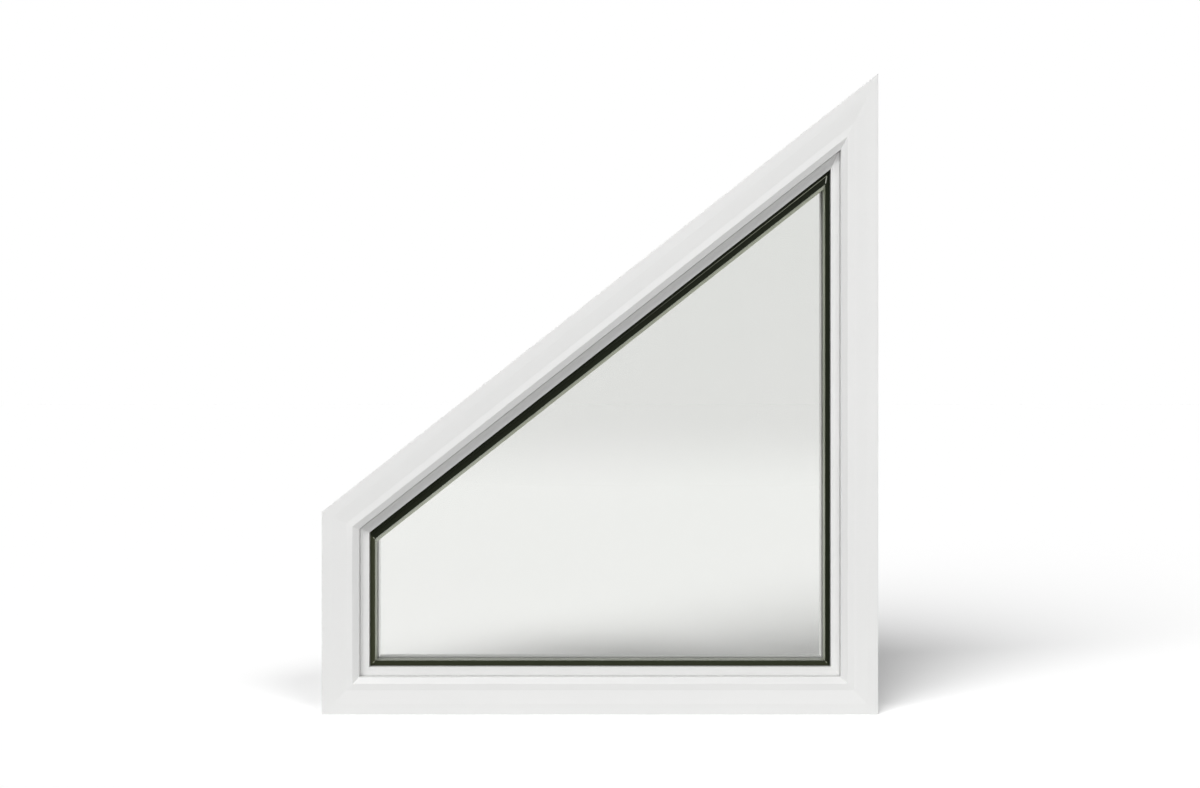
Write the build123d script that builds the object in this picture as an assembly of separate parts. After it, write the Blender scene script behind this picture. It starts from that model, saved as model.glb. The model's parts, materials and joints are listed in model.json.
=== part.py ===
from build123d import *
import os

# Fixed trapezoid window in white vinyl. X runs along the sill, Z is up, and Y runs from
# the weather side to the room. The origin is under the middle of the sill, half way
# through the frame's depth. Lengths are in millimetres.
# Sections are drawn in two directions: in is measured from the frame's outer edge towards
# the glass, and back is measured from the frame's weather face towards the room.

# Outline of the whole window: level sill, two plumb jambs, sloping head
width = 762.0
tall_height = 878.0
short_height = 277.5
frame_depth = 82.6

# Weather face of the frame section, from the outer edge inwards: a flat strip, a shallow
# plane that falls back, a strip that rises again, and the lip's chamfer
flat_strip = 14.6
sloped_strip = 18.5
sloped_fall = 2.0
rising_strip = 8.7
rise = 0.8
chamfer_width = 8.2
chamfer_fall = 5.8
edge_radius = 0.8

# Channel behind the lip, and the ledge from which the glazing pocket's floor starts
channel_depth = 13.0
ledge_width = 3.0

# Hollow walls of the frame section
wall = 2.6
web = 1.4
web_places = (17.0, 35.0)
cross_web_place = 30.0
least_chamber = 12.0

# Two grooves around the outside that take the fixing straps
strap_groove_width = 3.2
strap_groove_depth = 5.0
strap_groove_places = (20.0, 63.0)

# Sealed unit: two panes held apart by a hollow spacer bar
glass_setback = 28.0
pane_thickness = 3.2
cavity = 19.0
edge_clearance = 5.0
edge_seal_width = 4.5
butyl_thickness = 0.3
butyl_shortfall = 4.2
spacer_height = 6.5
spacer_shoulder = 1.8
spacer_radius = 0.6
spacer_wall = 1.0

# The seal is wider under the sloping head, so the gasket reaches lower there, and the
# spacer bar so much lower that its flank shows under the gasket
gasket_drop = 5.0
spacer_drop = 9.0

# Black seals on both sides of the unit
gasket_thickness = 1.6
gasket_lip = 6.5
gasket_radius = 0.3
tape_thickness = 1.6
tape_recess = 1.6

# Snap-in bead on the weather side
bead_height = 9.0
bead_wall = 1.3
bead_tip = 8.4
bead_dish = 0.3
nose_gap = 0.3
nose_drop = 9.2
nose_width = 3.4
nose_step = 0.6
nose_radius = 0.3
nose_clearance = 0.2

# Hook of the bead and the undercut groove that it snaps into
hook_place = 2.6
hook_thickness = 1.4
hook_barb = 1.0
hook_clearance = 0.15
groove_depth = 3.2
barb_height = 1.6

# Room side of the frame section: the leg that the unit is pressed against, and its slope
leg_height = 17.0
leg_tip = 20.0
room_flat = 41.8
room_chamfer_width = 8.7
room_chamfer_fall = 5.8

# Blocks that carry the unit on the sill
block_length = 100.0
block_place = 0.25

# Places across the section that the sizes above lead to
rising_in = flat_strip + sloped_strip
chamfer_in = rising_in + rising_strip
lip_in = chamfer_in + chamfer_width
floor_in = lip_in + ledge_width
glass_in = floor_in + edge_clearance
bead_in = floor_in + bead_height
spacer_in = glass_in + edge_seal_width
sight_in = spacer_in + spacer_height
leg_in = floor_in + leg_height

# Places through the depth that the sizes above lead to
chamfer_back = sloped_fall - rise
lip_back = chamfer_back + chamfer_fall
channel_back = lip_back + channel_depth
bead_back = glass_setback - gasket_thickness
cavity_back = glass_setback + pane_thickness
inner_pane_back = cavity_back + cavity
unit_back = inner_pane_back + pane_thickness
leg_back = unit_back + tape_thickness
hook_back = channel_back + hook_place
leg_web_place = leg_back + wall - web / 2

# Reach of the mitre cuts past the section, in front of it and behind it
mitre_margin = 5.0

corners = [
    Vector(-width / 2, 0, 0),
    Vector(width / 2, 0, 0),
    Vector(width / 2, 0, tall_height),
    Vector(-width / 2, 0, short_height),
]
side_names = ["sill", "tall_jamb", "head", "short_jamb"]
along = [(corners[(i + 1) % 4] - corners[i]).normalized() for i in range(4)]
inward = [Vector(-way.Z, 0, way.X) for way in along]
gasket_drops = [gasket_drop if name == "head" else 0 for name in side_names]
spacer_drops = [spacer_drop if name == "head" else 0 for name in side_names]


def inset_corner(i, before_distance, after_distance):
    """Corner i of the outline after the sides before and after it have moved inwards."""
    before, after = inward[i - 1], inward[i]
    lean = before.dot(after)
    before_share = (before_distance - lean * after_distance) / (1 - lean**2)
    after_share = (after_distance - lean * before_distance) / (1 - lean**2)
    return corners[i] + before * before_share + after * after_share


def mitre_lines(outer_distance, inner_distances):
    """Mitre lines through the corners of an outer and an inner outline, run on past both."""
    lines = []
    for i in range(4):
        outer = inset_corner(i, outer_distance, outer_distance)
        inner = inset_corner(i, inner_distances[i - 1], inner_distances[i])
        lines.append((outer * 2 - inner, inner * 2 - outer))
    return lines


def plate(points, start, end):
    """A flat piece with an upright outline, from one depth behind the weather face to another."""
    outline = make_face(Polyline(*[(point.X, point.Z) for point in points], close=True))
    front = Plane.XZ.offset(frame_depth / 2 - start)
    return extrude(front * outline, amount=start - end)


def mitred_bar(side, section, mitres):
    """A section run along one side of the window and cut at both ends on the mitre lines."""
    after = (side + 1) % 4
    start = corners[after] - Vector(0, frame_depth / 2, 0)
    run = Plane(origin=start, x_dir=inward[side], z_dir=-along[side])
    length = (corners[after] - corners[side]).length
    cut_points = [mitres[side][0], mitres[after][0], mitres[after][1], mitres[side][1]]
    between_mitres = plate(cut_points, -mitre_margin, frame_depth + mitre_margin)
    return extrude(run * section, amount=length) & between_mitres


def rounded_outline(points):
    """A closed outline through points that each give in, back and the corner's radius."""
    path = FilletPolyline(*[point[:2] for point in points], radius=[point[2] for point in points], close=True)
    return make_face(path)


def rectangle(in_start, back_start, in_end, back_end):
    """A rectangle between two opposite corners of the section."""
    centre = Pos((in_start + in_end) / 2, (back_start + back_end) / 2)
    return centre * Rectangle(in_end - in_start, back_end - back_start)


def frame_points(radius):
    """Outline of the frame section, with its outer corners rounded to the radius."""
    groove_in = floor_in - groove_depth
    catch_in = groove_in + barb_height + 2 * hook_clearance
    mouth_back = hook_back + hook_thickness + 2 * hook_clearance
    return [
        (0, 0, radius),
        (flat_strip, 0, 0),
        (rising_in, sloped_fall, 0),
        (chamfer_in, chamfer_back, radius),
        (lip_in, lip_back, radius),
        (lip_in, channel_back, 0),
        (floor_in, channel_back, 0),
        (floor_in, hook_back, 0),
        (groove_in, hook_back, 0),
        (groove_in, mouth_back + hook_barb, 0),
        (catch_in, mouth_back + hook_barb, 0),
        (catch_in, mouth_back, 0),
        (floor_in, mouth_back, 0),
        (floor_in, leg_back, 0),
        (leg_in, leg_back, 0),
        (leg_in, leg_back + leg_tip, radius),
        (room_flat + room_chamfer_width, frame_depth - room_chamfer_fall, radius),
        (room_flat, frame_depth, radius),
        (0, frame_depth, radius),
    ]


def frame_section():
    """Hollow frame section: outer skin, webs that divide it into chambers, strap grooves."""
    skin = rounded_outline(frame_points(edge_radius))
    hollow = offset(rounded_outline(frame_points(0)), -wall)
    for place in web_places:
        hollow -= rectangle(place - web / 2, 0, place + web / 2, frame_depth)
    for place in (cross_web_place, leg_web_place):
        hollow -= rectangle(0, place - web / 2, leg_in, place + web / 2)
    grooves = Sketch()
    for place in strap_groove_places:
        start = place - strap_groove_width / 2
        end = place + strap_groove_width / 2
        hollow -= rectangle(0, start - wall, strap_groove_depth + wall, end + wall)
        grooves += rectangle(0, start, strap_groove_depth, end)
    chambers = [chamber for chamber in hollow.faces() if chamber.area > least_chamber]
    return skin - chambers - grooves


def bead_section():
    """Hollow bead: square nose, small step, dished face down to the glass, hook underneath."""
    nose_in = lip_in + nose_gap
    nose_back = lip_back + nose_drop
    heel_back = channel_back - nose_clearance
    step_in = nose_in + nose_width
    path = FilletPolyline(
        (bead_in, bead_back - bead_tip),
        (bead_in, bead_back),
        (floor_in, bead_back),
        (floor_in, heel_back),
        (nose_in, heel_back),
        (nose_in, nose_back),
        (step_in, nose_back),
        (step_in, nose_back + nose_step),
        radius=[0, 0, 0, 0, nose_radius, nose_radius],
    )
    face_curve = SagittaArc(path @ 1, path @ 0, bead_dish)
    body = make_face([path, face_curve])
    behind_nose = body - rectangle(nose_in, nose_back, step_in, heel_back)
    off_curve = (path @ 0 - path @ 1).rotate(Axis.Z, 90).normalized() * bead_wall
    chamber = behind_nose
    for shift in (Vector(bead_wall, 0), Vector(-bead_wall, 0), Vector(0, -bead_wall), off_curve):
        chamber &= Pos(shift) * behind_nose
    leg_start = hook_back + hook_clearance
    leg_end = leg_start + hook_thickness
    foot_in = floor_in - groove_depth + hook_clearance
    leg = rectangle(foot_in, leg_start, floor_in, leg_end)
    barb = make_face(
        Polyline(
            (foot_in, leg_end),
            (foot_in + barb_height, leg_end),
            (foot_in + barb_height, leg_end + hook_barb),
            close=True,
        )
    )
    return body - chamber + leg + barb


def gasket_section(drop):
    """Wedge gasket between bead and outer pane, with a rounded lip that shows past the bead."""
    lip_end = bead_in + gasket_lip + drop
    return rounded_outline(
        [
            (glass_in, bead_back, 0),
            (lip_end, bead_back, gasket_radius),
            (lip_end, glass_setback, 0),
            (glass_in, glass_setback, 0),
        ]
    )


def spacer_outline(drop):
    """Outside of the spacer bar: rounded towards the sight line, shouldered towards the edge."""
    front = cavity_back + butyl_thickness
    back = inner_pane_back - butyl_thickness
    outline = rounded_outline(
        [
            (spacer_in, front + spacer_shoulder, 0),
            (spacer_in + spacer_shoulder, front, 0),
            (sight_in, front, spacer_radius),
            (sight_in, back, spacer_radius),
            (spacer_in + spacer_shoulder, back, 0),
            (spacer_in, back - spacer_shoulder, 0),
        ]
    )
    return Pos(drop, 0) * outline


def spacer_section(drop):
    """Hollow spacer bar."""
    return spacer_outline(drop) - offset(spacer_outline(drop), -spacer_wall)


def edge_seal_section(drop):
    """Seal that fills the unit's edge behind the spacer and runs up both of its flanks."""
    seal_end = sight_in + drop - butyl_shortfall
    return rectangle(glass_in, cavity_back, seal_end, inner_pane_back) - spacer_outline(drop)


def tape_section():
    """Foam tape between inner pane and leg."""
    return rectangle(glass_in, unit_back, leg_in - tape_recess, leg_back)


def pane(start):
    """One sheet of glass, as large as the sealed unit."""
    return plate([inset_corner(i, glass_in, glass_in) for i in range(4)], start, start + pane_thickness)


def setting_block(share):
    """Block under the unit, centred at a share of the glass's lower edge."""
    left, right = inset_corner(0, glass_in, glass_in), inset_corner(1, glass_in, glass_in)
    middle = left + (right - left) * share
    half = Vector(block_length / 2, 0, 0)
    drop = Vector(0, 0, edge_clearance)
    points = [middle - half - drop, middle + half - drop, middle + half, middle - half]
    return plate(points, glass_setback, unit_back)


# The frame's corners are halved. Those of gasket and sealed unit aren't, because the head's
# bars are wider there than the other ones
halved_mitres = mitre_lines(0, [leg_in] * 4)
gasket_mitres = mitre_lines(glass_in, [bead_in + gasket_lip + drop for drop in gasket_drops])
unit_mitres = mitre_lines(glass_in, [sight_in + drop for drop in spacer_drops])

pieces = {
    "outer_pane": pane(glass_setback),
    "inner_pane": pane(inner_pane_back),
    "left_setting_block": setting_block(block_place),
    "right_setting_block": setting_block(1 - block_place),
}
for side, side_name in enumerate(side_names):
    bars = {
        "frame": (frame_section(), halved_mitres),
        "bead": (bead_section(), halved_mitres),
        "tape": (tape_section(), halved_mitres),
        "gasket": (gasket_section(gasket_drops[side]), gasket_mitres),
        "spacer": (spacer_section(spacer_drops[side]), unit_mitres),
        "edge_seal": (edge_seal_section(spacer_drops[side]), unit_mitres),
    }
    for kind, (section, mitres) in bars.items():
        pieces[f"{side_name}_{kind}"] = mitred_bar(side, section, mitres)

os.makedirs("parts", exist_ok=True)
for name, piece in pieces.items():
    export_step(piece, f"parts/{name}.step")
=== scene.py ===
# %% [markdown]
# A fixed window in the shape of a trapezoid, made of white uPVC with a sealed double-glazed
# unit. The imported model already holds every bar, bead, seal and pane at its real place, so
# this lesson gives each one the finish of the real material, adds the fine trim that only
# the eye needs, and sets up the studio.

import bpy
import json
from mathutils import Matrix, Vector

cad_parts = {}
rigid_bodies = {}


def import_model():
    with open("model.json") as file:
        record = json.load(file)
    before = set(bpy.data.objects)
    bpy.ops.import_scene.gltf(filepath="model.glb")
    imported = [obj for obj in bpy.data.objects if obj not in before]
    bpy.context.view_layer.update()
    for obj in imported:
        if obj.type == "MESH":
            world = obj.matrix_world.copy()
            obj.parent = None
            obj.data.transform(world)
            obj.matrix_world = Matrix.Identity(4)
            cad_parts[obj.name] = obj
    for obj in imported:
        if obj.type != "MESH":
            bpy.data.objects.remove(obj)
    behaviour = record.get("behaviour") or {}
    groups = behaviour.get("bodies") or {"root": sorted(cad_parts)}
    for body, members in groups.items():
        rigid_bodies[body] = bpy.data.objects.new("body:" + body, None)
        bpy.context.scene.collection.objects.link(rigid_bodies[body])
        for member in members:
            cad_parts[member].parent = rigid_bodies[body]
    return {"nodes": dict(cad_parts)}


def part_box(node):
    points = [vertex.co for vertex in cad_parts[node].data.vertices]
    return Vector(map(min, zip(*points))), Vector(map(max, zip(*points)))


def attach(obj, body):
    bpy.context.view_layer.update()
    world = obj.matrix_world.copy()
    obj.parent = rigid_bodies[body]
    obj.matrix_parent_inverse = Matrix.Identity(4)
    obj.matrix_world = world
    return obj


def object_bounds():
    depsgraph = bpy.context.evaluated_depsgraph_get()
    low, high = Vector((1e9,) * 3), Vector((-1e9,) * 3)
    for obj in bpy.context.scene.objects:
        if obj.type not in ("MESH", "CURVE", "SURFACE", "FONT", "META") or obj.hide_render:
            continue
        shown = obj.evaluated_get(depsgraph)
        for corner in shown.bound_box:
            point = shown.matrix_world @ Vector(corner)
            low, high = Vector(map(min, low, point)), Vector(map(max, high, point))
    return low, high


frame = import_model()
nodes = frame["nodes"]
cad_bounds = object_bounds()
low, high = cad_bounds
print("window measures", [round(high[i] - low[i], 4) for i in range(3)], "m")

# %% [markdown]
# Colours are given as sRGB hex values, but shaders add and multiply light, which
# only works on linear values. One function turns hex into linear. A second one adds a
# shader node with its settings, its fixed inputs and its links in one call, so a material
# reads from top to bottom like a recipe.

# %% Colour and node helpers
import bpy
import json
import math
from mathutils import Vector

MM = 0.001
SIDES = ("sill", "tall_jamb", "head", "short_jamb")


def linear(hex_colour):
    """Linear RGBA from an sRGB hex value such as "#E8E8E6"."""
    channels = [int(hex_colour[i:i + 2], 16) / 255 for i in (1, 3, 5)]
    return [c / 12.92 if c <= 0.04045 else ((c + 0.055) / 1.055) ** 2.4 for c in channels] + [1.0]


def add_node(tree, kind, inputs=None, links=None, **settings):
    """Adds one node: settings are its properties, inputs are fixed values, links are sources."""
    node = tree.nodes.new(kind)
    for name, value in settings.items():
        setattr(node, name, value)
    for socket, value in (inputs or {}).items():
        node.inputs[socket].default_value = value
    for socket, source in (links or {}).items():
        tree.links.new(source, node.inputs[socket])
    return node


def new_material(name):
    """An empty material and its node tree."""
    material = bpy.data.materials.new(name)
    material.use_nodes = True
    material.node_tree.nodes.clear()
    return material, material.node_tree


def dress(names, material):
    """Puts a material on CAD nodes."""
    for name in names:
        nodes[name].material_slots[0].material = material
    print(material.name, "on", len(names), "nodes")


# %% [markdown]
# The photograph looks at the window square on, from the middle of its height, so upright
# edges stay upright and the picture shows the outline undistorted. Only the distance is
# open: it is read from how far the glass, which lies deeper than the frame's face, seems
# to shrink towards the middle. Two metres fits that. The focal length then follows from
# how wide the window is in the picture.

# %% Camera
PHOTO_WIDTH = 1200
WINDOW_WIDTH_IN_PHOTO = 556.6
EYE_DISTANCE = 2.0

window_width = high[0] - low[0]
eye_height = (low[2] + high[2]) / 2
camera_data = bpy.data.cameras.new("studio_camera")
camera_data.sensor_width = 36.0
camera_data.lens = (
    camera_data.sensor_width * WINDOW_WIDTH_IN_PHOTO / PHOTO_WIDTH * EYE_DISTANCE / window_width
)
camera = bpy.data.objects.new("studio_camera", camera_data)
camera.location = (0, low[1] - EYE_DISTANCE, eye_height)
camera.rotation_euler = (math.pi / 2, 0, 0)
bpy.context.scene.collection.objects.link(camera)
bpy.context.scene.camera = camera
print("lens", round(camera_data.lens, 2), "mm")

# %% [markdown]
# The frame and the beads are rigid uPVC, pushed through a steel die and cooled. The die
# leaves a satin skin with hair-fine lines that run along each bar, and the bars are
# mitred, so the lines turn at every corner. A noise texture squeezed across the bar and
# stretched along it gives such lines, so each side has its own copy of the material,
# turned to that side's direction. Real die lines are about a tenth of a millimetre apart,
# too fine to show, so they are drawn 1.5 mm apart and very shallow.

# %% uPVC
UPVC_LIGHT = "#EDEDEC"
UPVC_SHADE = "#EAEAE9"
UPVC_IOR = 1.53
DIE_LINE_SPACING = 1.5 * MM
DIE_LINE_LENGTH = 400 * MM
DIE_LINE_HEIGHT = 0.01 * MM
CLOUD_SIZE = 90 * MM


def extruded_upvc(side, angle):
    """White uPVC whose die lines run at an angle from the sill, in radians."""
    material, tree = new_material(f"extruded_upvc_{side}")
    place = add_node(tree, "ShaderNodeTexCoord")
    turned = add_node(
        tree,
        "ShaderNodeMapping",
        inputs={"Rotation": (0, angle, 0)},
        links={"Vector": place.outputs["Object"]},
    )
    drawn_out = add_node(
        tree,
        "ShaderNodeMapping",
        inputs={"Scale": (1 / DIE_LINE_LENGTH, 1 / DIE_LINE_SPACING, 1 / DIE_LINE_SPACING)},
        links={"Vector": turned.outputs["Vector"]},
    )
    lines = add_node(
        tree,
        "ShaderNodeTexNoise",
        inputs={"Scale": 1.0, "Detail": 3.0, "Roughness": 0.6},
        links={"Vector": drawn_out.outputs["Vector"]},
    )
    clouds = add_node(
        tree,
        "ShaderNodeTexNoise",
        inputs={"Scale": 1 / CLOUD_SIZE, "Detail": 2.0},
        links={"Vector": place.outputs["Object"]},
    )
    colour = add_node(
        tree,
        "ShaderNodeMix",
        data_type="RGBA",
        inputs={6: linear(UPVC_LIGHT), 7: linear(UPVC_SHADE)},
        links={0: clouds.outputs["Fac"]},
    )
    gloss = add_node(
        tree,
        "ShaderNodeMapRange",
        inputs={"From Min": 0.3, "From Max": 0.7, "To Min": 0.38, "To Max": 0.48},
        links={"Value": lines.outputs["Fac"]},
    )
    relief = add_node(
        tree,
        "ShaderNodeBump",
        inputs={"Strength": 0.5, "Distance": DIE_LINE_HEIGHT},
        links={"Height": lines.outputs["Fac"]},
    )
    skin = add_node(
        tree,
        "ShaderNodeBsdfPrincipled",
        inputs={"IOR": UPVC_IOR},
        links={
            "Base Color": colour.outputs[2],
            "Roughness": gloss.outputs["Result"],
            "Normal": relief.outputs["Normal"],
        },
    )
    add_node(tree, "ShaderNodeOutputMaterial", links={"Surface": skin.outputs["BSDF"]})
    return material


short_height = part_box("short_jamb_frame")[1][2]
slope = math.atan2(high[2] - short_height, window_width)
angles = {"sill": 0.0, "tall_jamb": math.pi / 2, "head": slope, "short_jamb": math.pi / 2}
for side in SIDES:
    dress([f"{side}_frame", f"{side}_bead"], extruded_upvc(side, angles[side]))
print("head slopes", round(math.degrees(slope), 2), "degrees")

# %% [markdown]
# The black line round the glass is a gasket of EPDM, a rubber that is extruded, cured and
# joined in mitres at the corners. Carbon black darkens it, with a tinge of olive, and its
# skin is dull, so it mirrors almost nothing. Its black is painted lighter or darker from
# side to side as painted light and shade. A fine noise bump gives the grain. Real grain
# is a tenth of a millimetre wide, so it is drawn 0.6 mm wide to show close up. The
# butyl that seals the unit, the foam tape behind it and the neoprene blocks under it are
# dull and dark as well, so one recipe with other values makes them all.

# %% EPDM, butyl, foam and neoprene
def dull_seal(name, hex_colour, roughness, shine, grain, height):
    """A dull dark seal: grain and height in metres, shine scales what it mirrors."""
    material, tree = new_material(name)
    place = add_node(tree, "ShaderNodeTexCoord")
    noise = add_node(
        tree,
        "ShaderNodeTexNoise",
        inputs={"Scale": 1 / grain, "Detail": 2.0},
        links={"Vector": place.outputs["Object"]},
    )
    dull = add_node(
        tree,
        "ShaderNodeMapRange",
        inputs={"To Min": roughness - 0.08, "To Max": roughness + 0.08},
        links={"Value": noise.outputs["Fac"]},
    )
    relief = add_node(
        tree,
        "ShaderNodeBump",
        inputs={"Strength": 0.6, "Distance": height},
        links={"Height": noise.outputs["Fac"]},
    )
    rubber = add_node(
        tree,
        "ShaderNodeBsdfPrincipled",
        inputs={"Base Color": linear(hex_colour), "IOR": 1.5, "Specular IOR Level": shine},
        links={"Roughness": dull.outputs["Result"], "Normal": relief.outputs["Normal"]},
    )
    add_node(tree, "ShaderNodeOutputMaterial", links={"Surface": rubber.outputs["BSDF"]})
    return material


# Painted light and shade: one black rubber, darkest on the tall jamb and the head, lightest on the
# short jamb.
EPDM_BLACK_WITH_SHADE = {"sill": "#2B2F1E", "tall_jamb": "#151B0A", "head": "#1A1F0F", "short_jamb": "#3B3E2B"}
for side in SIDES:
    rubber = dull_seal(f"epdm_rubber_and_shade_{side}", EPDM_BLACK_WITH_SHADE[side], 0.6, 0.15, 0.6 * MM, 0.05 * MM)
    dress([f"{side}_gasket"], rubber)
butyl = dull_seal("butyl_sealant", "#171A10", 0.5, 0.3, 2 * MM, 0.1 * MM)
foam = dull_seal("polyethylene_foam", "#262822", 0.85, 0.2, 0.5 * MM, 0.1 * MM)
neoprene = dull_seal("neoprene", "#2A2B29", 0.6, 0.3, 1 * MM, 0.05 * MM)
dress([f"{side}_edge_seal" for side in SIDES], butyl)
dress([f"{side}_tape" for side in SIDES], foam)
dress(["left_setting_block", "right_setting_block"], neoprene)

# %% [markdown]
# The spacer bar keeps the two panes apart. It is roll-formed metal with a grey-green
# lacquer, painted darker on the sill and lighter on the tall jamb as painted light and
# shade, and only its inner face shows, as a thin greenish line behind the outer pane.
# Drying beads lie inside it, so that face is pierced by tiny holes every 3 mm. A wave
# texture along each bar, cut off by a threshold, draws them as faint darker marks.

# %% Spacer bar
HOLE_PITCH = 3 * MM
HOLE_COLOUR = "#5E6450"
HOLE_DARKNESS = 0.35
BANDS_PER_UNIT_OF_SCALE = 20 / (2 * math.pi)
# Painted light and shade: the same grey-green, made darker or lighter for how each bar is lit.
LACQUER_WITH_SHADE = {"sill": "#858C72", "tall_jamb": "#BCC3A8", "head": "#A9AD9C", "short_jamb": "#A9B095"}


def spacer_lacquer(side, angle):
    """Grey-green lacquer with painted light and shade per side, and breathing holes along a bar
    that runs at an angle to the sill.
    """
    material, tree = new_material(f"lacquered_spacer_and_shade_{side}")
    place = add_node(tree, "ShaderNodeTexCoord")
    turned = add_node(
        tree,
        "ShaderNodeMapping",
        inputs={"Rotation": (0, angle, 0)},
        links={"Vector": place.outputs["Object"]},
    )
    holes = add_node(
        tree,
        "ShaderNodeTexWave",
        inputs={"Scale": 1 / (HOLE_PITCH * BANDS_PER_UNIT_OF_SCALE)},
        links={"Vector": turned.outputs["Vector"]},
    )
    pierced = add_node(
        tree,
        "ShaderNodeMapRange",
        inputs={"From Min": 0.85, "From Max": 0.95, "To Max": HOLE_DARKNESS},
        links={"Value": holes.outputs["Fac"]},
    )
    colour = add_node(
        tree,
        "ShaderNodeMix",
        data_type="RGBA",
        inputs={6: linear(LACQUER_WITH_SHADE[side]), 7: linear(HOLE_COLOUR)},
        links={0: pierced.outputs["Result"]},
    )
    lacquer = add_node(
        tree,
        "ShaderNodeBsdfPrincipled",
        inputs={"Roughness": 0.35, "IOR": 1.5},
        links={"Base Color": colour.outputs[2]},
    )
    add_node(tree, "ShaderNodeOutputMaterial", links={"Surface": lacquer.outputs["BSDF"]})
    return material


for side in SIDES:
    dress([f"{side}_spacer"], spacer_lacquer(side, angles[side]))

# %% [markdown]
# Float glass is cast on molten tin, so both faces are flat and polished. Each pane is a
# real solid here, so light bends in and out of it and reflects from all four faces of
# the unit, as in the real one. Iron in the glass and the thin metal coat inside the unit
# take some light, and the tint stands for both. The tint wavers by one step, too little
# to see as a pattern, as the coat of a large pane does.

# %% Float glass
GLASS_IOR = 1.52
GLASS_TINT = "#F6F6F5"
GLASS_TINT_THICK = "#F5F6F4"
COAT_CLOUD = 250 * MM


def float_glass():
    """Clear polished glass with a faint tint."""
    material, tree = new_material("float_glass")
    place = add_node(tree, "ShaderNodeTexCoord")
    cloud = add_node(
        tree,
        "ShaderNodeTexNoise",
        inputs={"Scale": 1 / COAT_CLOUD, "Detail": 1.0},
        links={"Vector": place.outputs["Object"]},
    )
    tint = add_node(
        tree,
        "ShaderNodeMix",
        data_type="RGBA",
        inputs={6: linear(GLASS_TINT), 7: linear(GLASS_TINT_THICK)},
        links={0: cloud.outputs["Fac"]},
    )
    glass = add_node(
        tree,
        "ShaderNodeBsdfPrincipled",
        inputs={"Roughness": 0.0, "IOR": GLASS_IOR, "Transmission Weight": 1.0},
        links={"Base Color": tint.outputs[2]},
    )
    add_node(tree, "ShaderNodeOutputMaterial", links={"Surface": glass.outputs["BSDF"]})
    return material


PANES = ("outer_pane", "inner_pane")
dress(PANES, float_glass())

# %% [markdown]
# Along the head the gasket has a thin raised rib with a pale slip coat, which lets it
# slide into place. The pale colour is also a painted highlight on the rib, whole at the
# high corner and fading further down. The gasket's corners are joined in a mould, which
# leaves a fine line on each mitre, pale as a coat and as a painted highlight.
# Rib and lines are too thin for the imported model, so they are made here. To know where
# they go, the window's outline is moved inwards by a distance of its own for each side,
# and a corner is where two neighbouring sides then meet.

# %% Corners of an inset outline
outline = [
    Vector((low[0], 0, 0)),
    Vector((high[0], 0, 0)),
    Vector((high[0], 0, high[2])),
    Vector((low[0], 0, short_height)),
]
ways = [(outline[(i + 1) % 4] - outline[i]).normalized() for i in range(4)]
inward = [Vector((-way.z, 0, way.x)) for way in ways]


def inset_corner(i, insets):
    """Corner i once the side before it and the side after it have moved inwards."""
    before, after = inward[i - 1], inward[i]
    lean = before.dot(after)
    before_share = (insets[i - 1] - lean * insets[i]) / (1 - lean**2)
    after_share = (insets[i] - lean * insets[i - 1]) / (1 - lean**2)
    return outline[i] + before * before_share + after * after_share


# %% [markdown]
# Each rib is a half round, swept along one side of the gasket: rows of vertices follow
# the half circle, and every row runs from one mitre to the other. The rows are joined to
# faces, and the underside and the two ends close the solid.

# %% Half-round ribs
ARC_STEPS = 6
GASKET_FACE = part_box("sill_gasket")[0][1]


def half_round(name, start_at, end_at, width, height, material):
    """A half-round rib between two ends, each a function of the distance across the rib."""
    verts = []
    for k in range(ARC_STEPS + 1):
        turn = math.pi * k / ARC_STEPS
        across = -math.cos(turn) * width / 2
        lift = Vector((0, GASKET_FACE - math.sin(turn) * height, 0))
        verts += [start_at(across) + lift, end_at(across) + lift]
    last = 2 * ARC_STEPS
    faces = [(2 * k, 2 * k + 2, 2 * k + 3, 2 * k + 1) for k in range(ARC_STEPS)]
    faces.append((0, 1, last + 1, last))
    faces.append(tuple(range(last, -1, -2)))
    faces.append(tuple(range(1, last + 2, 2)))
    mesh = bpy.data.meshes.new(name)
    mesh.from_pydata(verts, [], faces)
    for face in mesh.polygons[:ARC_STEPS]:
        face.use_smooth = True
    mesh.materials.append(material)
    rib = bpy.data.objects.new(name, mesh)
    bpy.context.scene.collection.objects.link(rib)
    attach(rib, "root")
    return rib


# %% [markdown]
# The slip coat is a polyurethane lacquer, sprayed on thin. Where the glazier's tool rubbed
# it, the dark rubber shows through. A noise of 12 mm patches decides where the coat is
# left, and a ramp along the head fades the coat and its painted highlight out downwards.

# %% Slip coat
COAT_PATCH = 12 * MM
# Painted highlight: between these two X values the pale coat fades out, down from the high corner.
COAT_AND_HIGHLIGHT_GONE_FROM = 0.02
COAT_AND_HIGHLIGHT_WHOLE_FROM = 0.30
NOWHERE_GONE = low[0] - 1.0


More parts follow.
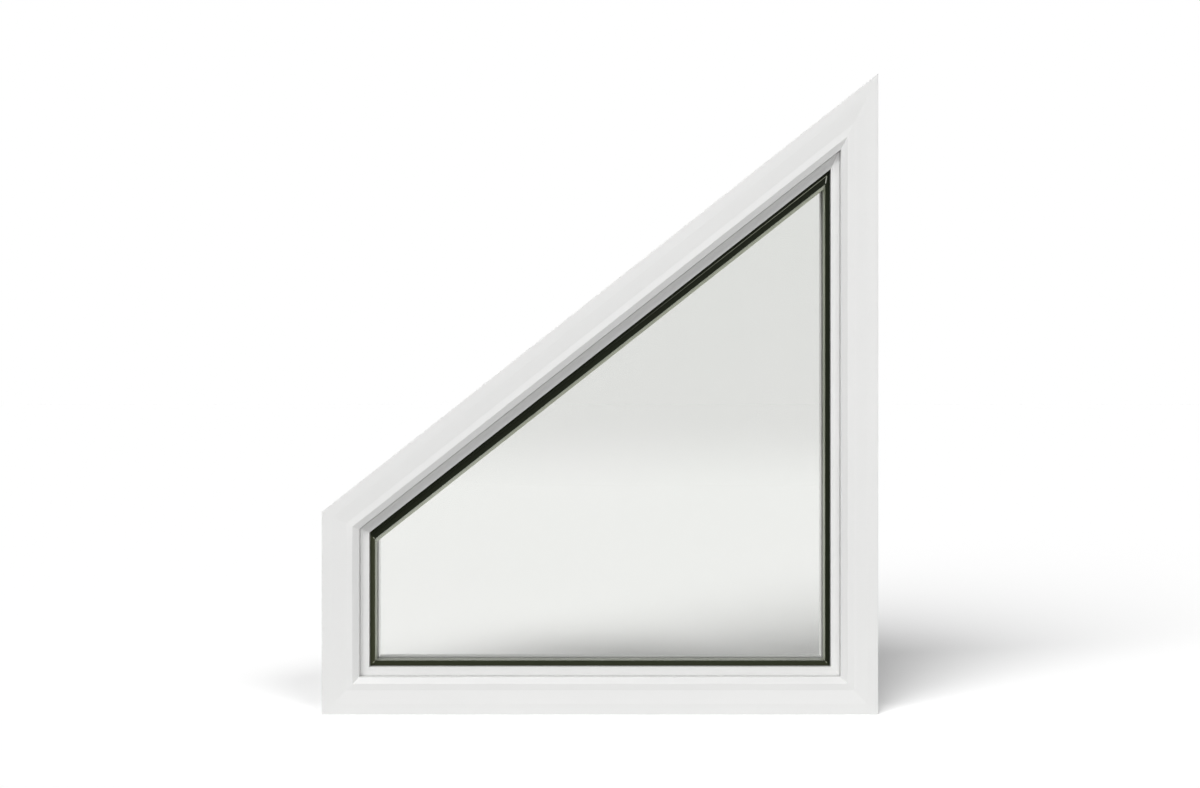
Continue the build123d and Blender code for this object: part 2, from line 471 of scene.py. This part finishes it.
def coat_and_highlight(name, coat_colour, gone_from, whole_from):
    """Pale coat and painted highlight, gone where X is under one value and whole where it is over
    another.
    """
    material, tree = new_material(name)
    place = add_node(tree, "ShaderNodeTexCoord")
    along = add_node(tree, "ShaderNodeSeparateXYZ", links={"Vector": place.outputs["Object"]})
    left = add_node(
        tree,
        "ShaderNodeMapRange",
        inputs={"From Min": gone_from, "From Max": whole_from},
        links={"Value": along.outputs["X"]},
    )
    patches = add_node(
        tree,
        "ShaderNodeTexNoise",
        inputs={"Scale": 1 / COAT_PATCH, "Detail": 2.0},
        links={"Vector": place.outputs["Object"]},
    )
    rubbed = add_node(
        tree,
        "ShaderNodeMapRange",
        inputs={"From Min": 0.3, "From Max": 0.6, "To Min": 0.75},
        links={"Value": patches.outputs["Fac"]},
    )
    cover = add_node(
        tree,
        "ShaderNodeMath",
        operation="MULTIPLY",
        links={0: left.outputs["Result"], 1: rubbed.outputs["Result"]},
    )
    colour = add_node(
        tree,
        "ShaderNodeMix",
        data_type="RGBA",
        inputs={6: linear(EPDM_BLACK_WITH_SHADE["head"]), 7: linear(coat_colour)},
        links={0: cover.outputs["Value"]},
    )
    lacquer = add_node(
        tree,
        "ShaderNodeBsdfPrincipled",
        inputs={"Roughness": 0.4, "IOR": 1.5, "Specular IOR Level": 0.3},
        links={"Base Color": colour.outputs[2]},
    )
    add_node(tree, "ShaderNodeOutputMaterial", links={"Surface": lacquer.outputs["BSDF"]})
    return material


# %% [markdown]
# The rib runs from mitre to mitre, half way up the gasket. One inset a side says how far
# its middle line lies inside the outline, and adding the distance across the rib to all
# four gives each of its edges an end that lies on the mitre.

# %% Rib along the head
RIB_WIDTH = 0.9 * MM
RIB_HEIGHT = 0.3 * MM
RIB_INSETS = [67.0 * MM, 66.5 * MM, 66.0 * MM, 67.0 * MM]
HEAD = SIDES.index("head")


def rib_end(i):
    """Where a rib meets its neighbour at corner i, for a distance across the rib."""
    return lambda across: inset_corner(i, [inset + across for inset in RIB_INSETS])


# The rib's pale coat is partly a painted highlight, brightest at the high corner.
head_coat_and_highlight = coat_and_highlight("fading_coat_and_highlight", "#A9AD98", COAT_AND_HIGHLIGHT_GONE_FROM, COAT_AND_HIGHLIGHT_WHOLE_FROM)
half_round("head_rib", rib_end(HEAD), rib_end(HEAD + 1), RIB_WIDTH, RIB_HEIGHT, head_coat_and_highlight)
print("rib on the head", round(RIB_INSETS[HEAD] / MM, 1), "mm from the outline")

# %% [markdown]
# The pale line on each mitre is a half round too. At the high corner it starts at the
# rib and runs to the inner corner of the gasket. At the other corners only a short piece
# near the inner corner is pale. The pale is partly a painted highlight, brightest at the
# high corner and dimmer at the others.

# %% Mould lines on the mitres
MOULD_LINE_WIDTH = 1.1 * MM
MOULD_LINE_HEIGHT = 0.2 * MM
SHORT_LINE = 3.0 * MM
BEAD_END = [62.0 * MM] * 4
GASKET_INNER = [68.2 * MM, 68.2 * MM, 73.2 * MM, 68.2 * MM]


def mould_line(name, start, end, material):
    """A half round from one place on the gasket to another."""
    way = (end - start).normalized()
    across_way = Vector((way.z, 0, -way.x))
    half_round(
        name,
        lambda across: start + across_way * across,
        lambda across: end + across_way * across,
        MOULD_LINE_WIDTH,
        MOULD_LINE_HEIGHT,
        material,
    )


# Painted highlight: the high corner's line is painted brightest, the other corners' lines dimmer.
bright_coat_and_highlight = coat_and_highlight("coat_and_highlight", "#E4E6DA", NOWHERE_GONE, low[0])
dim_coat_and_highlight = coat_and_highlight("dim_mould_coat_and_highlight", "#A9AD98", NOWHERE_GONE, low[0])
corner_names = ("low_left", "low_right", "high_right", "high_left")
for i, corner in enumerate(corner_names):
    inner = inset_corner(i, GASKET_INNER)
    if corner == "high_right":
        mould_line(f"{corner}_mould_line", inset_corner(i, RIB_INSETS), inner, bright_coat_and_highlight)
    else:
        start = inner + (inset_corner(i, BEAD_END) - inner).normalized() * SHORT_LINE
        mould_line(f"{corner}_mould_line", start, inner, dim_coat_and_highlight)
print("mould lines at", len(corner_names), "corners")

# %% [markdown]
# The studio has a white floor that runs on into a white background. A real white floor
# would throw so much light back that the frame's shaded faces would turn as white as the
# others. So the floor has two sides: what the eye sees, straight or through the glass, is
# white, and what lights the window is a grey that throws back less.

# %% Floor
FLOOR_WHITE = "#FDFDFD"
FLOOR_GREY = "#BEBEBE"
FLOOR_FRONT = -5.0
FLOOR_BACK = 60.0
FLOOR_HALF_WIDTH = 40.0


def looked_at(tree):
    """1 for what the eye sees, straight or through clear glass, and 0 for what gives light."""
    path = add_node(tree, "ShaderNodeLightPath")
    direct = add_node(
        tree,
        "ShaderNodeMath",
        operation="MAXIMUM",
        links={0: path.outputs["Is Camera Ray"], 1: path.outputs["Is Singular Ray"]},
    )
    no_bounce = add_node(
        tree,
        "ShaderNodeMath",
        operation="LESS_THAN",
        inputs={1: 0.5},
        links={0: path.outputs["Diffuse Depth"]},
    )
    return add_node(
        tree,
        "ShaderNodeMath",
        operation="MULTIPLY",
        links={0: direct.outputs["Value"], 1: no_bounce.outputs["Value"]},
    ).outputs["Value"]


def flat_floor():
    """A level floor just under the window."""
    mesh = bpy.data.meshes.new("studio_floor")
    corners = [
        (-FLOOR_HALF_WIDTH, FLOOR_FRONT, 0),
        (FLOOR_HALF_WIDTH, FLOOR_FRONT, 0),
        (FLOOR_HALF_WIDTH, FLOOR_BACK, 0),
        (-FLOOR_HALF_WIDTH, FLOOR_BACK, 0),
    ]
    mesh.from_pydata(corners, [], [(0, 1, 2, 3)])
    floor = bpy.data.objects.new("studio_floor", mesh)
    bpy.context.scene.collection.objects.link(floor)
    material, tree = new_material("matte_acrylic_floor")
    white = add_node(
        tree,
        "ShaderNodeBsdfPrincipled",
        inputs={
            "Base Color": linear(FLOOR_WHITE),
            "Roughness": 0.9,
            "Specular IOR Level": 0.0,
        },
    )
    grey = add_node(tree, "ShaderNodeBsdfDiffuse", inputs={"Color": linear(FLOOR_GREY)})
    surface = add_node(
        tree,
        "ShaderNodeMixShader",
        links={0: looked_at(tree), 1: grey.outputs["BSDF"], 2: white.outputs["BSDF"]},
    )
    add_node(tree, "ShaderNodeOutputMaterial", links={"Surface": surface.outputs["Shader"]})
    mesh.materials.append(material)
    return floor


floor = flat_floor()

# %% [markdown]
# The light is soft and comes from large lamps. A sun lamp with a wide disc lights the
# whole floor evenly, and the wider its disc, the softer its shadows. Light linking gives
# the window and the floor lamps of their own. The window's lamps shine through the panes,
# so the spacer and the room-side leg behind the glass are lit, and a lamp of their own
# gives the spacer bars what the bright floor throws up. Two lamps in the room brush the
# legs of the jambs, which show as pale lines inside the black band. Part of the fill
# leaves out the sill's and the head's bead, which lie in the shade of the frame. The
# floor's lamps are stopped by the panes too, so the window throws one whole shadow.

# %% Soft lamps
def collection_of(name, objects):
    """A collection for light linking."""
    collection = bpy.data.collections.new(name)
    for item in objects:
        collection.objects.link(item)
    return collection


window_pieces = [
    item for item in bpy.context.scene.objects if item.type == "MESH" and item is not floor
]
panes = [nodes[name] for name in PANES]
whole_window = collection_of("whole_window", window_pieces)
opaque_pieces = collection_of(
    "window_without_panes", [item for item in window_pieces if item not in panes]
)
floor_alone = collection_of("floor_alone", [floor])
spacers = collection_of("spacer_bars", [nodes[f"{side}_spacer"] for side in SIDES])
right_jamb = collection_of("right_jamb", [nodes["tall_jamb_frame"]])
left_jamb = collection_of("left_jamb", [nodes["short_jamb_frame"]])


def soft_lamp(name, azimuth, elevation, disc, strength, lit, blockers):
    """A sun lamp; azimuth 0 is at the camera and grows to the right, angles are in degrees."""
    data = bpy.data.lights.new(name, "SUN")
    data.energy = strength
    data.angle = math.radians(disc)
    lamp = bpy.data.objects.new(name, data)
    turn, rise = math.radians(azimuth), math.radians(elevation)
    towards_lamp = Vector(
        (math.cos(rise) * math.sin(turn), -math.cos(rise) * math.cos(turn), math.sin(rise))
    )
    lamp.rotation_euler = towards_lamp.to_track_quat("Z", "Y").to_euler()
    bpy.context.scene.collection.objects.link(lamp)
    lamp.light_linking.receiver_collection = lit
    lamp.light_linking.blocker_collection = blockers
    return lamp


def all_but(name):
    """Every opaque piece of the window but one."""
    others = [item for item in opaque_pieces.objects if item is not nodes[name]]
    return collection_of(f"all_but_{name}", others)


def window_lamp(name, azimuth, elevation, disc, strength, lit_through, lit_stopped):
    """Lights the window; part of the light passes the panes and the rest stops there."""
    aim = (azimuth, elevation, disc)
    through, stopped = strength * GLASS_PASSES, strength * (1 - GLASS_PASSES)
    soft_lamp(f"{name}_through", *aim, through, lit_through, opaque_pieces)
    soft_lamp(f"{name}_stopped", *aim, stopped, lit_stopped, whole_window)


GLASS_PASSES = 0.35
FLOOR_KEY = (-26.5, 36, 41, 3.75)
FLOOR_FILL = (31, 47, 18, 0.85)
window_lamp("window_key", -30, 43, 34, 1.8, opaque_pieces, opaque_pieces)
window_lamp("window_fill", 17, 13, 40, 0.88, all_but("sill_bead"), all_but("head_bead"))
soft_lamp("window_side", 90, 10, 60, 0.45, opaque_pieces, opaque_pieces)
soft_lamp("spacer_bounce", 0, -30, 60, 3.0, spacers, opaque_pieces)
soft_lamp("room_left", -100, 0, 20, 1.7, right_jamb, whole_window)
soft_lamp("room_right", 100, 0, 20, 1.7, left_jamb, whole_window)
back = soft_lamp("window_back", 180, 8, 140, 2.8, opaque_pieces, opaque_pieces)
back.visible_glossy = False
soft_lamp("floor_key", *FLOOR_KEY, floor_alone, whole_window)
soft_lamp("floor_fill", *FLOOR_FILL, floor_alone, whole_window)
floor_light = sum(
    strength * math.sin(math.radians(elevation)) / math.pi
    for _, elevation, _, strength in (FLOOR_KEY, FLOOR_FILL)
)

# %% [markdown]
# The world gives the rest. What the eye sees of it is as bright as the open floor, so the
# two join without an edge. What it gives as light is a weak fill. Behind the camera there
# is a dark area that only mirrored rays see: the glass mirrors it in its upper part and
# mirrors the bright floor in its lower part, which is why the photograph's glass turns
# lighter from the middle down.

# %% World
AMBIENT = 0.12
MIRRORED_GREY = 0.12
white_level = linear(FLOOR_WHITE)[0] * (floor_light + AMBIENT)
print("open floor and background", round(white_level, 3))


def studio_world():
    """White surroundings, with a weak fill and a dark area behind the camera."""
    world = bpy.data.worlds.new("studio_world")
    world.use_nodes = True
    tree = world.node_tree
    tree.nodes.clear()
    place = add_node(tree, "ShaderNodeTexCoord")
    way = add_node(tree, "ShaderNodeSeparateXYZ", links={"Vector": place.outputs["Generated"]})
    path = add_node(tree, "ShaderNodeLightPath")

    def ramp(source, start, end):
        return add_node(
            tree,
            "ShaderNodeMapRange",
            interpolation_type="SMOOTHSTEP",
            inputs={"From Min": start, "From Max": end},
            links={"Value": source},
        ).outputs["Result"]

    def times(first, second):
        return add_node(
            tree, "ShaderNodeMath", operation="MULTIPLY", links={0: first, 1: second}
        ).outputs["Value"]

    behind_camera = ramp(way.outputs["Y"], -0.5, -0.8)
    above_floor = ramp(way.outputs["Z"], -0.070, -0.014)
    mirrored = ramp(path.outputs["Glossy Depth"], 0.0, 1.0)
    dark = times(times(behind_camera, above_floor), mirrored)
    seen = add_node(
        tree,
        "ShaderNodeMapRange",
        inputs={"To Min": white_level, "To Max": MIRRORED_GREY},
        links={"Value": dark},
    )
    level = add_node(
        tree,
        "ShaderNodeMix",
        data_type="FLOAT",
        inputs={2: AMBIENT},
        links={0: looked_at(tree), 3: seen.outputs["Result"]},
    )
    background = add_node(
        tree,
        "ShaderNodeBackground",
        inputs={"Color": (1, 1, 1, 1)},
        links={"Strength": level.outputs[0]},
    )
    add_node(tree, "ShaderNodeOutputWorld", links={"Surface": background.outputs["Background"]})
    bpy.context.scene.world = world


studio_world()

# %% [markdown]
# The Standard view transform keeps white as white, which suits a product picture. Light
# that the floor throws up bends through the panes and reaches the pieces behind them, so
# refractive caustics are on. Reflective ones would be faint here and only add noise, so
# they are off.

# %% Colour and light settings
scene = bpy.context.scene
scene.view_settings.view_transform = "Standard"
scene.cycles.caustics_refractive = True
scene.cycles.caustics_reflective = False
scene.cycles.use_denoising = True
